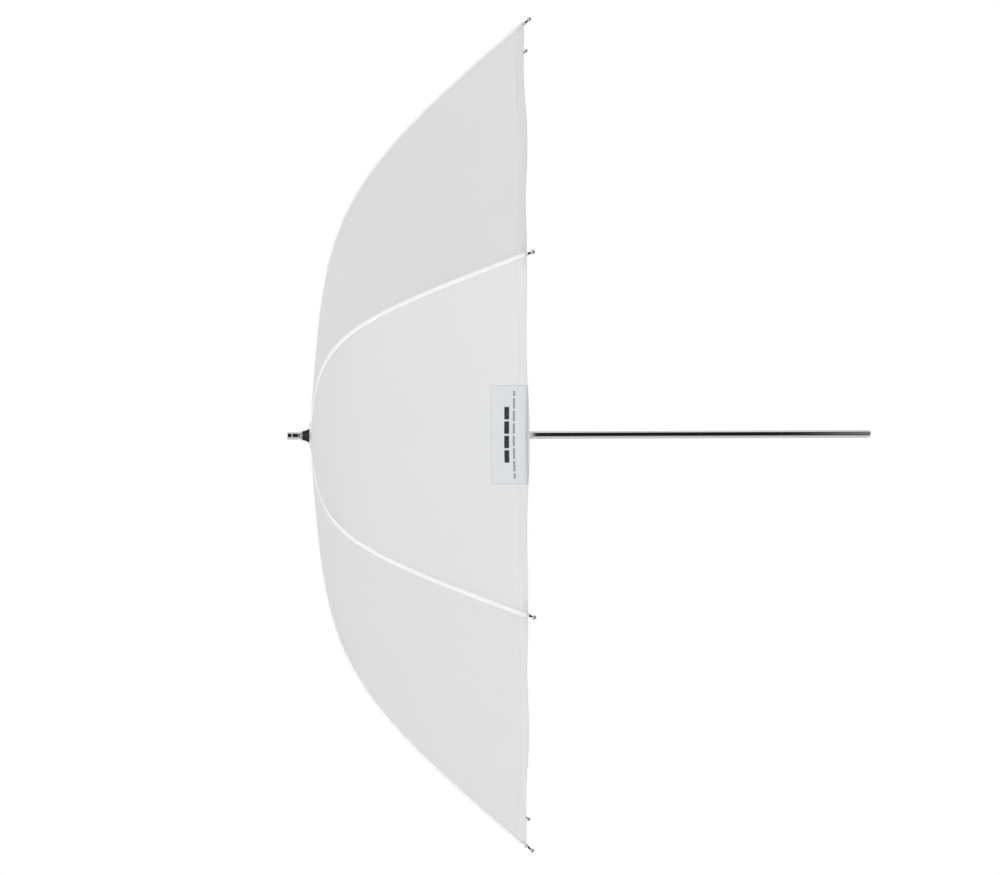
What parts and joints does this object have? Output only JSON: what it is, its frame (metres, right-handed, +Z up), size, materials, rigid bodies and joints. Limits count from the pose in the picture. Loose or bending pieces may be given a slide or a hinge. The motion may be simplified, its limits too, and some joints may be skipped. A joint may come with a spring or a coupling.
{
  "type": "folding umbrella reflector",
  "caption": "Folding studio umbrella reflector with a shallow white translucent cloth canopy on wire ribs, a chrome tube shaft, a sliding runner and a spring catch.",
  "frame": {"origin": "on the shaft's axis where a stand's umbrella bracket clamps it, 100 mm from the shaft's free end", "axes": "+X along the shaft towards its free end, so the canopy's crown is at -X and the canopy opens towards +X; +Z up as it is pictured, with the shaft level and the labelled gore facing -Y"},
  "size_m": [0.5743, 0.7892, 0.7892],
  "materials": {
    "chrome": "polished",
    "zinc_steel": "satin",
    "black_plastic": "satin",
    "tip_metal": "satin",
    "white_cloth": "matte",
    "label_cloth": "matte"
  },
  "bodies": {
    "frame": {"shaft": "chrome", "end_plug": "chrome", "crown_cap": "black_plastic", "cap_retainer": "zinc_steel", "crown_patch": "white_cloth", "top_notch": "black_plastic", "notch_wire": "zinc_steel"},
    "runner": {"runner": "black_plastic", "runner_wire": "zinc_steel"},
    "catch": {"catch_spring": "zinc_steel"},
    "rib_1": {"rib_inner_1": "zinc_steel", "canopy_inner_1": "white_cloth"},
    "rib_end_1": {"rib_outer_1": "zinc_steel", "rib_tip_1": "tip_metal", "canopy_outer_1": "white_cloth", "label": "label_cloth"},
    "strut_1": {"stretcher_1": "zinc_steel"},
    "rib_2": {"rib_inner_2": "zinc_steel", "canopy_inner_2": "white_cloth"},
    "rib_end_2": {"rib_outer_2": "zinc_steel", "rib_tip_2": "tip_metal", "canopy_outer_2": "white_cloth"},
    "strut_2": {"stretcher_2": "zinc_steel"},
    "rib_3": {"rib_inner_3": "zinc_steel", "canopy_inner_3": "white_cloth"},
    "rib_end_3": {"rib_outer_3": "zinc_steel", "rib_tip_3": "tip_metal", "canopy_outer_3": "white_cloth"},
    "strut_3": {"stretcher_3": "zinc_steel"},
    "rib_4": {"rib_inner_4": "zinc_steel", "canopy_inner_4": "white_cloth"},
    "rib_end_4": {"rib_outer_4": "zinc_steel", "rib_tip_4": "tip_metal", "canopy_outer_4": "white_cloth"},
    "strut_4": {"stretcher_4": "zinc_steel"},
    "rib_5": {"rib_inner_5": "zinc_steel", "canopy_inner_5": "white_cloth"},
    "rib_end_5": {"rib_outer_5": "zinc_steel", "rib_tip_5": "tip_metal", "canopy_outer_5": "white_cloth"},
    "strut_5": {"stretcher_5": "zinc_steel"},
    "rib_6": {"rib_inner_6": "zinc_steel", "canopy_inner_6": "white_cloth"},
    "rib_end_6": {"rib_outer_6": "zinc_steel", "rib_tip_6": "tip_metal", "canopy_outer_6": "white_cloth"},
    "strut_6": {"stretcher_6": "zinc_steel"},
    "rib_7": {"rib_inner_7": "zinc_steel", "canopy_inner_7": "white_cloth"},
    "rib_end_7": {"rib_outer_7": "zinc_steel", "rib_tip_7": "tip_metal", "canopy_outer_7": "white_cloth"},
    "strut_7": {"stretcher_7": "zinc_steel"},
    "rib_8": {"rib_inner_8": "zinc_steel", "canopy_inner_8": "white_cloth"},
    "rib_end_8": {"rib_outer_8": "zinc_steel", "rib_tip_8": "tip_metal", "canopy_outer_8": "white_cloth"},
    "strut_8": {"stretcher_8": "zinc_steel"}
  },
  "joints": [
    {"name": "canopy_fold", "type": "hinge", "parent": "frame", "child": "rib_1", "pos_m": [-0.44842, -0.00924, 0.00383], "axis": [0, 0.3827, 0.9239], "range_deg": [0, 74], "deforming": ["canopy_inner_1", "canopy_outer_1", "canopy_inner_2", "canopy_outer_2", "canopy_inner_3", "canopy_outer_3", "canopy_inner_4", "canopy_outer_4", "canopy_inner_5", "canopy_outer_5", "canopy_inner_6", "canopy_outer_6", "canopy_inner_7", "canopy_outer_7", "canopy_inner_8", "canopy_outer_8", "label"]},
    {"name": "rib_2_fold", "type": "hinge", "parent": "frame", "child": "rib_2", "pos_m": [-0.44842, -0.00383, 0.00924], "axis": [0, 0.9239, 0.3827], "range_deg": [0, 74]},
    {"name": "rib_3_fold", "type": "hinge", "parent": "frame", "child": "rib_3", "pos_m": [-0.44842, 0.00383, 0.00924], "axis": [0, 0.9239, -0.3827], "range_deg": [0, 74]},
    {"name": "rib_4_fold", "type": "hinge", "parent": "frame", "child": "rib_4", "pos_m": [-0.44842, 0.00924, 0.00383], "axis": [0, 0.3827, -0.9239], "range_deg": [0, 74]},
    {"name": "rib_5_fold", "type": "hinge", "parent": "frame", "child": "rib_5", "pos_m": [-0.44842, 0.00924, -0.00383], "axis": [0, -0.3827, -0.9239], "range_deg": [0, 74]},
    {"name": "rib_6_fold", "type": "hinge", "parent": "frame", "child": "rib_6", "pos_m": [-0.44842, 0.00383, -0.00924], "axis": [0, -0.9239, -0.3827], "range_deg": [0, 74]},
    {"name": "rib_7_fold", "type": "hinge", "parent": "frame", "child": "rib_7", "pos_m": [-0.44842, -0.00383, -0.00924], "axis": [0, -0.9239, 0.3827], "range_deg": [0, 74]},
    {"name": "rib_8_fold", "type": "hinge", "parent": "frame", "child": "rib_8", "pos_m": [-0.44842, -0.00924, -0.00383], "axis": [0, -0.3827, 0.9239], "range_deg": [0, 74]},
    {"name": "rib_end_1_flex", "type": "hinge", "parent": "rib_1", "child": "rib_end_1", "pos_m": [-0.41542, -0.2044, 0.08467], "axis": [0, 0.3827, 0.9239], "range_deg": [-26, 0]},
    {"name": "rib_end_2_flex", "type": "hinge", "parent": "rib_2", "child": "rib_end_2", "pos_m": [-0.41542, -0.08467, 0.2044], "axis": [0, 0.9239, 0.3827], "range_deg": [-26, 0]},
    {"name": "rib_end_3_flex", "type": "hinge", "parent": "rib_3", "child": "rib_end_3", "pos_m": [-0.41542, 0.08467, 0.2044], "axis": [0, 0.9239, -0.3827], "range_deg": [-26, 0]},
    {"name": "rib_end_4_flex", "type": "hinge", "parent": "rib_4", "child": "rib_end_4", "pos_m": [-0.41542, 0.2044, 0.08467], "axis": [0, 0.3827, -0.9239], "range_deg": [-26, 0]},
    {"name": "rib_end_5_flex", "type": "hinge", "parent": "rib_5", "child": "rib_end_5", "pos_m": [-0.41542, 0.2044, -0.08467], "axis": [0, -0.3827, -0.9239], "range_deg": [-26, 0]},
    {"name": "rib_end_6_flex", "type": "hinge", "parent": "rib_6", "child": "rib_end_6", "pos_m": [-0.41542, 0.08467, -0.2044], "axis": [0, -0.9239, -0.3827], "range_deg": [-26, 0]},
    {"name": "rib_end_7_flex", "type": "hinge", "parent": "rib_7", "child": "rib_end_7", "pos_m": [-0.41542, -0.08467, -0.2044], "axis": [0, -0.9239, 0.3827], "range_deg": [-26, 0]},
    {"name": "rib_end_8_flex", "type": "hinge", "parent": "rib_8", "child": "rib_end_8", "pos_m": [-0.41542, -0.2044, -0.08467], "axis": [0, -0.3827, 0.9239], "range_deg": [-26, 0]},
    {"name": "strut_1_pivot", "type": "hinge", "parent": "rib_1", "child": "strut_1", "pos_m": [-0.41126, -0.20282, 0.08401], "axis": [0, 0.3827, 0.9239], "range_deg": [-148, 0]},
    {"name": "strut_2_pivot", "type": "hinge", "parent": "rib_2", "child": "strut_2", "pos_m": [-0.41126, -0.08401, 0.20282], "axis": [0, 0.9239, 0.3827], "range_deg": [-148, 0]},
    {"name": "strut_3_pivot", "type": "hinge", "parent": "rib_3", "child": "strut_3", "pos_m": [-0.41126, 0.08401, 0.20282], "axis": [0, 0.9239, -0.3827], "range_deg": [-148, 0]},
    {"name": "strut_4_pivot", "type": "hinge", "parent": "rib_4", "child": "strut_4", "pos_m": [-0.41126, 0.20282, 0.08401], "axis": [0, 0.3827, -0.9239], "range_deg": [-148, 0]},
    {"name": "strut_5_pivot", "type": "hinge", "parent": "rib_5", "child": "strut_5", "pos_m": [-0.41126, 0.20282, -0.08401], "axis": [0, -0.3827, -0.9239], "range_deg": [-148, 0]},
    {"name": "strut_6_pivot", "type": "hinge", "parent": "rib_6", "child": "strut_6", "pos_m": [-0.41126, 0.08401, -0.20282], "axis": [0, -0.9239, -0.3827], "range_deg": [-148, 0]},
    {"name": "strut_7_pivot", "type": "hinge", "parent": "rib_7", "child": "strut_7", "pos_m": [-0.41126, -0.08401, -0.20282], "axis": [0, -0.9239, 0.3827], "range_deg": [-148, 0]},
    {"name": "strut_8_pivot", "type": "hinge", "parent": "rib_8", "child": "strut_8", "pos_m": [-0.41126, -0.20282, -0.08401], "axis": [0, -0.3827, 0.9239], "range_deg": [-148, 0]},
    {"name": "runner_travel", "type": "hinge", "parent": "strut_1", "child": "runner", "pos_m": [-0.3741, -0.00924, 0.00383], "axis": [0, 0.3827, 0.9239], "range_deg": [0, 74]},
    {"name": "catch_press", "type": "hinge", "parent": "frame", "child": "catch", "pos_m": [-0.3038, 0, 0.0019], "axis": [0, -1, 0], "range_deg": [0, 6], "stiffness_Nm_per_rad": 0.05, "deforming": ["catch_spring"]}
  ],
  "couplings": [
    {"joint": "rib_2_fold", "follows": "canopy_fold", "ratio": 1},
    {"joint": "rib_3_fold", "follows": "canopy_fold", "ratio": 1},
    {"joint": "rib_4_fold", "follows": "canopy_fold", "ratio": 1},
    {"joint": "rib_5_fold", "follows": "canopy_fold", "ratio": 1},
    {"joint": "rib_6_fold", "follows": "canopy_fold", "ratio": 1},
    {"joint": "rib_7_fold", "follows": "canopy_fold", "ratio": 1},
    {"joint": "rib_8_fold", "follows": "canopy_fold", "ratio": 1},
    {"joint": "rib_end_1_flex", "follows": "canopy_fold", "ratio": -0.35135},
    {"joint": "rib_end_2_flex", "follows": "canopy_fold", "ratio": -0.35135},
    {"joint": "rib_end_3_flex", "follows": "canopy_fold", "ratio": -0.35135},
    {"joint": "rib_end_4_flex", "follows": "canopy_fold", "ratio": -0.35135},
    {"joint": "rib_end_5_flex", "follows": "canopy_fold", "ratio": -0.35135},
    {"joint": "rib_end_6_flex", "follows": "canopy_fold", "ratio": -0.35135},
    {"joint": "rib_end_7_flex", "follows": "canopy_fold", "ratio": -0.35135},
    {"joint": "rib_end_8_flex", "follows": "canopy_fold", "ratio": -0.35135},
    {"joint": "strut_1_pivot", "follows": "canopy_fold", "ratio": -2},
    {"joint": "strut_2_pivot", "follows": "canopy_fold", "ratio": -2},
    {"joint": "strut_3_pivot", "follows": "canopy_fold", "ratio": -2},
    {"joint": "strut_4_pivot", "follows": "canopy_fold", "ratio": -2},
    {"joint": "strut_5_pivot", "follows": "canopy_fold", "ratio": -2},
    {"joint": "strut_6_pivot", "follows": "canopy_fold", "ratio": -2},
    {"joint": "strut_7_pivot", "follows": "canopy_fold", "ratio": -2},
    {"joint": "strut_8_pivot", "follows": "canopy_fold", "ratio": -2},
    {"joint": "runner_travel", "follows": "canopy_fold", "ratio": 1}
  ]
}
